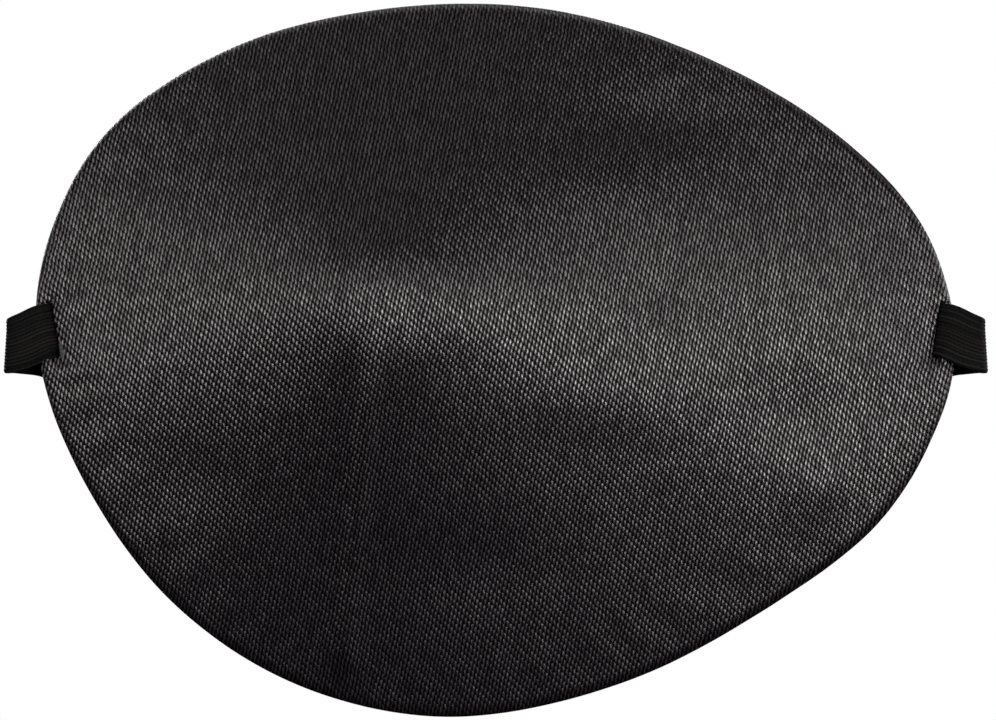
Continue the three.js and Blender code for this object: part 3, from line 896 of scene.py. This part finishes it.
# %% [markdown]
# ## Ribbed elastic
# Flat elastic is knitted with rubber cords along its length, so fine ribs run along both faces.
# The band is a sweep: Geometry Nodes draw the ribbed outline once and carry it along the path.
# The profile is cut into ribs by a cosine over its width, and two attributes remember how far
# along and how far across each point lies, for the finish to use.

# %% Make the elastic's finish and its sweep
elastic, tree, shader = new_material("ribbed_elastic", 0.03)
along = add_node(tree, "ShaderNodeAttribute", attribute_name="along").outputs["Fac"]
across = add_node(tree, "ShaderNodeAttribute", attribute_name="across").outputs["Fac"]
RIBS = 16
WEFT = 0.42 * MM
place = add_node(tree, "ShaderNodeCombineXYZ", {
    "X": maths(tree, "MULTIPLY", along, 60.0), "Y": maths(tree, "MULTIPLY", across, 3500.0)}).outputs[0]
streaks = noise(tree, place, 1.0, 3)
rib = maths(tree, "FLOOR", maths(tree, "MULTIPLY", across, RIBS / BAND))
loops = maths(tree, "MULTIPLY_ADD", along, 2 * math.pi / WEFT, maths(tree, "MULTIPLY", rib, math.pi))
loops = maths(tree, "ABSOLUTE", maths(tree, "SINE", maths(tree, "MULTIPLY", loops, 0.5)))
# Painted shade: the colour darkens in the grooves between the ribs and in the hollows between the weft loops. The
# streaks and the warm and cool patches are the elastic's own tone.
rib_groove_shade = maths(tree, "COSINE", maths(tree, "MULTIPLY", across, 2 * math.pi * RIBS / BAND))
rib_groove_shade = maths(tree, "MULTIPLY_ADD", rib_groove_shade, 0.45, 0.55)
shade = maths(tree, "MULTIPLY", rib_groove_shade, spread(tree, streaks, -1.3, 2.4))
shade = maths(tree, "MULTIPLY", shade, maths(tree, "MULTIPLY_ADD", loops, 0.4, 0.6))
warmth = noise(tree, product(tree, place, (0.5, 0.12, 0.0)), 1.0, 2)
warmth = spread(tree, warmth, -0.6, 1.6)
colour = mixed_colour(tree, warmth, (0.0080, 0.0050, 0.0052), (0.0042, 0.0058, 0.0050))
put(tree, product(tree, colour, shade), shader.inputs["Base Color"])
put(tree, spread(tree, streaks, 0.62, 0.85), shader.inputs["Roughness"])
put(tree, bump(tree, loops, 0.035 * MM, 0.8), shader.inputs["Normal"])

SWEEP_SIZES = {"Thickness": BAND_THICK, "Width": BAND, "Ribs": RIBS, "Rib depth": 0.055 * MM, "Rib steps": 4}
group, sizes, output = node_group("ribbed_sweep", SWEEP_SIZES)
centre = add_node(group, "GeometryNodeSetCurveNormal", {"Curve": sizes["Geometry"]}, mode="Z_UP")
gone = add_node(group, "GeometryNodeSplineParameter").outputs["Length"]
marked = add_node(group, "GeometryNodeStoreNamedAttribute", {
    "Geometry": centre.outputs[0], "Name": "along", "Value": gone}, data_type="FLOAT", domain="POINT")
outline = add_node(group, "GeometryNodeCurvePrimitiveQuadrilateral", {
    "Width": maths(group, "SUBTRACT", sizes["Thickness"], sizes["Rib depth"]), "Height": sizes["Width"]})
soft = add_node(group, "GeometryNodeFilletCurve", {
    "Curve": outline.outputs[0], "Radius": maths(group, "MULTIPLY", sizes["Thickness"], 0.3), "Count": 3}, mode="POLY")
per_side = maths(group, "MULTIPLY", sizes["Ribs"], sizes["Rib steps"])
steps = maths(group, "MULTIPLY_ADD", per_side, 2.0, 10.0)
fine = add_node(group, "GeometryNodeResampleCurve", {"Curve": soft.outputs[0], "Count": steps})
position = add_node(group, "GeometryNodeInputPosition").outputs[0]
spot = add_node(group, "ShaderNodeSeparateXYZ", {"Vector": position})
turns = maths(group, "MULTIPLY", maths(group, "DIVIDE", spot.outputs["Y"], sizes["Width"]), sizes["Ribs"])
wave = maths(group, "COSINE", maths(group, "MULTIPLY", turns, 2 * math.pi))
side = maths(group, "SIGN", spot.outputs["X"])
half_depth = maths(group, "MULTIPLY", sizes["Rib depth"], 0.5)
push = maths(group, "MULTIPLY", maths(group, "MULTIPLY", wave, side), half_depth)
moved = add_node(group, "GeometryNodeSetPosition", {
    "Geometry": fine.outputs[0], "Offset": add_node(group, "ShaderNodeCombineXYZ", {"X": push}).outputs[0]})
profile = add_node(group, "GeometryNodeStoreNamedAttribute", {
    "Geometry": moved.outputs[0], "Name": "across", "Value": spot.outputs["Y"]}, data_type="FLOAT", domain="POINT")
swept = add_node(group, "GeometryNodeCurveToMesh", {
    "Curve": marked.outputs[0], "Profile Curve": profile.outputs[0], "Fill Caps": True})
finish_tree(group, swept.outputs[0], output, elastic)
ribbed_sweep = group


def sweep_band(name, line):
    piece = run_nodes(curve_object(name, line, tilts=leans(line)), ribbed_sweep, SWEEP_SIZES)
    piece.data.shade_smooth()
    return piece


head_elastic = sweep_band("head_elastic", band_line)
print("elastic faces:", len(head_elastic.data.polygons))

# %% [markdown]
# ## Adjuster leg
# Behind the right slot the band's last stretch goes to the slide adjuster, over its middle bar,
# round it and forward again to where it is sewn down. It is the same elastic, in a piece of its
# own, because it stretches as the slider moves back.

# %% Make the adjuster leg
SLIDER_AT = 45 * MM
BAR_THICK = 1.0 * MM
BAR_MIDDLE = -(LAYER + BAND_THICK / 2 + 0.25 * MM) - BAR_THICK / 2
FOLD_ROUND = BAR_THICK / 2 + 0.15 * MM + BAND_THICK / 2
TAIL = 9.5 * MM

leg_start = right_loop[right_from]
straight = [inner_leg(along) for along in np.arange(MERGE + 1 * MM, SLIDER_AT - TAIL, 2 * MM)]
over_bar = spline([
    straight[-1], by_run(SLIDER_AT - 7 * MM, -LAYER), by_run(SLIDER_AT - 3.5 * MM, -LAYER - 0.05 * MM),
    by_run(SLIDER_AT - 1 * MM, BAR_MIDDLE + FOLD_ROUND)], 0.6 * MM)[1:]
fold = [by_run(SLIDER_AT + 0.4 * MM + FOLD_ROUND * math.sin(turn), BAR_MIDDLE + FOLD_ROUND * math.cos(turn))
        for turn in np.linspace(0, math.pi, 14)]
back_leg = spline([
    by_run(SLIDER_AT - 1 * MM, BAR_MIDDLE - FOLD_ROUND), by_run(SLIDER_AT - 3.5 * MM, -2 * LAYER - 0.15 * MM),
    by_run(SLIDER_AT - 6 * MM, -2 * LAYER), by_run(SLIDER_AT - TAIL, -2 * LAYER)], 0.6 * MM)
leg_line = sloped(np.vstack([leg_start, *straight, over_bar, fold, back_leg]))
leg_elastic = sweep_band("leg_elastic", leg_line)
band_length += np.linalg.norm(np.diff(leg_line, axis=0), axis=1).sum()
print("whole band, mm:", round(band_length / MM))

# %% [markdown]
# ## Bar tacks
# Each end of the elastic is held by a bar tack: a dense zigzag of thread across the band. One
# thread that goes to and fro is a curve whose points step sideways in turn, so Geometry Nodes
# take a straight line across the band, cut it into steps, push every other point along the
# band, and sweep the thread's round section along it.

# %% Make the bar tacks
TACK_SIZES = {"Stitches": 34, "Reach": 1.3 * MM, "Thread": 0.1 * MM}
TACK_HALF = 2.1 * MM
TACK_MARGIN = 2.5 * MM
group, sizes, output = node_group("zigzag_tack", TACK_SIZES)
even = add_node(group, "GeometryNodeResampleCurve", {"Curve": sizes["Geometry"], "Count": sizes["Stitches"]})
parity = maths(group, "MODULO", add_node(group, "GeometryNodeInputIndex").outputs[0], 2.0)
way = maths(group, "MULTIPLY_ADD", parity, 2.0, -1.0)
aside = add_node(group, "ShaderNodeCombineXYZ", {"X": maths(group, "MULTIPLY", way, sizes["Reach"])})
zigzag = add_node(group, "GeometryNodeSetPosition", {"Geometry": even.outputs[0], "Offset": aside.outputs[0]})
round_section = add_node(group, "GeometryNodeCurvePrimitiveCircle", {"Resolution": 6, "Radius": sizes["Thread"]})
sewn = add_node(group, "GeometryNodeCurveToMesh", {
    "Curve": zigzag.outputs[0], "Profile Curve": round_section.outputs[0], "Fill Caps": True})
finish_tree(group, sewn.outputs[0], output, thread)
tack_group = group


def bar_tack(name, along, outs, side):
    """A zigzag on each face, drawn flat across the band, then turned onto the run and sloped."""
    meshes = []
    for out in outs:
        line = [(0, 0, -TACK_HALF), (0, 0, TACK_HALF)]
        piece = run_nodes(curve_object(name, line), tack_group, TACK_SIZES)
        points = np.array([vertex.co[:] for vertex in piece.data.vertices])
        middle = by_run(along, out)
        placed = np.empty_like(points)
        for i, (sideways, proud, up) in enumerate(points):
            spot = by_run(along + sideways, out + proud)
            placed[i] = (side * spot[0], spot[1], middle[2] + up)
        piece.data.vertices.foreach_set("co", sloped(placed).ravel())
        meshes.append(piece)
    mesh = bmesh.new()
    for piece in meshes:
        mesh.from_mesh(piece.data)
    bmesh.ops.recalc_face_normals(mesh, faces=mesh.faces)
    whole = meshes[0]
    mesh.to_mesh(whole.data)
    mesh.free()
    bpy.data.objects.remove(meshes[1])
    whole.name = name
    whole.data.shade_smooth()
    return whole


HALF_BAND = BAND_THICK / 2
left_tack = bar_tack("left_tack", LEFT_END - TACK_MARGIN, (-LAYER - HALF_BAND, HALF_BAND), -1)
slider_tack = bar_tack(
    "slider_tack", SLIDER_AT - TAIL + TACK_MARGIN, (-2 * LAYER - HALF_BAND, -LAYER + HALF_BAND), 1)

# %% [markdown]
# ## Slide adjuster
# The slider is a small moulded plastic frame. Its shape is right in the CAD, but its edges are
# sharp, and a moulding's edges catch the light. A copy is merged, its flat faces are joined up,
# and every sharp edge gets a small round.

# %% Make the slider
plastic, tree, shader = new_material("moulded_plastic", 0.35)
coordinates = add_node(tree, "ShaderNodeTexCoord").outputs["Object"]
grain = noise(tree, coordinates, 2400, 3)
wear = noise(tree, coordinates, 420, 4)
plastic_black = mixed_colour(tree, wear, (0.004, 0.004, 0.0045), (0.009, 0.009, 0.0095))
put(tree, plastic_black, shader.inputs["Base Color"])
put(tree, spread(tree, wear, 0.28, 0.48), shader.inputs["Roughness"])
put(tree, bump(tree, grain, 0.012 * MM), shader.inputs["Normal"])

mesh = bmesh.new()
mesh.from_mesh(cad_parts["slide_adjuster"].data)
bmesh.ops.remove_doubles(mesh, verts=mesh.verts, dist=0.005 * MM)
bmesh.ops.dissolve_limit(mesh, angle_limit=math.radians(1), verts=mesh.verts, edges=mesh.edges)
slider_mesh = bpy.data.meshes.new("slider")
mesh.to_mesh(slider_mesh)
mesh.free()
slider = bpy.data.objects.new("slider", slider_mesh)
bpy.context.scene.collection.objects.link(slider)
rounding = slider.modifiers.new("rounding", "BEVEL")
rounding.width = 0.22 * MM
rounding.segments = 3
rounding.limit_method = "ANGLE"
rounding.angle_limit = math.radians(25)
rounding.harden_normals = True
apply_modifiers(slider)
slider.data.materials.clear()
slider.data.materials.append(plastic)
slider.data.shade_smooth()
print("slider faces:", len(slider.data.polygons))

# %% [markdown]
# ## Pieces and their bodies
# Each piece rides on the body it belongs to, and the CAD parts it stands for are hidden. The
# elastic crosses from the cup to the headband at the pivot, and from the headband to the slider
# along the adjuster's leg, so its two pieces ride on no single body and stay where they are built.

# %% Tie every piece to the frame
PIECES = [
    (satin_cover, "satin", ["front_cover"], "root"), (foam_core, "foam", ["foam_pad"], "root"),
    (dart_strip, "tape", ["dart_tape"], "root"), (lining, "lining", ["back_lining"], "root"),
    (hem_stitches, "thread", ["hem_seam"], "root"), (left_tack, "thread", ["left_bar_tack"], "headband"),
    (slider_tack, "thread", ["slider_bar_tack"], "slider"), (slider, "slider", ["slide_adjuster"], "slider"),
    (head_elastic, "elastic", ["headband", "left_slot_loop", "right_slot_loop", "left_band_end"], None),
    (leg_elastic, "elastic", ["adjuster_leg", "slider_band_end"], None),
]
for piece, slot_name, nodes, body in PIECES:
    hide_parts(*nodes)
    if body:
        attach(piece, body)
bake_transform(head_elastic)
leg_from, leg_to = sloped(np.array([inner_leg(MERGE + 1 * MM), inner_leg(33 * MM)]))
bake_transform(leg_elastic)
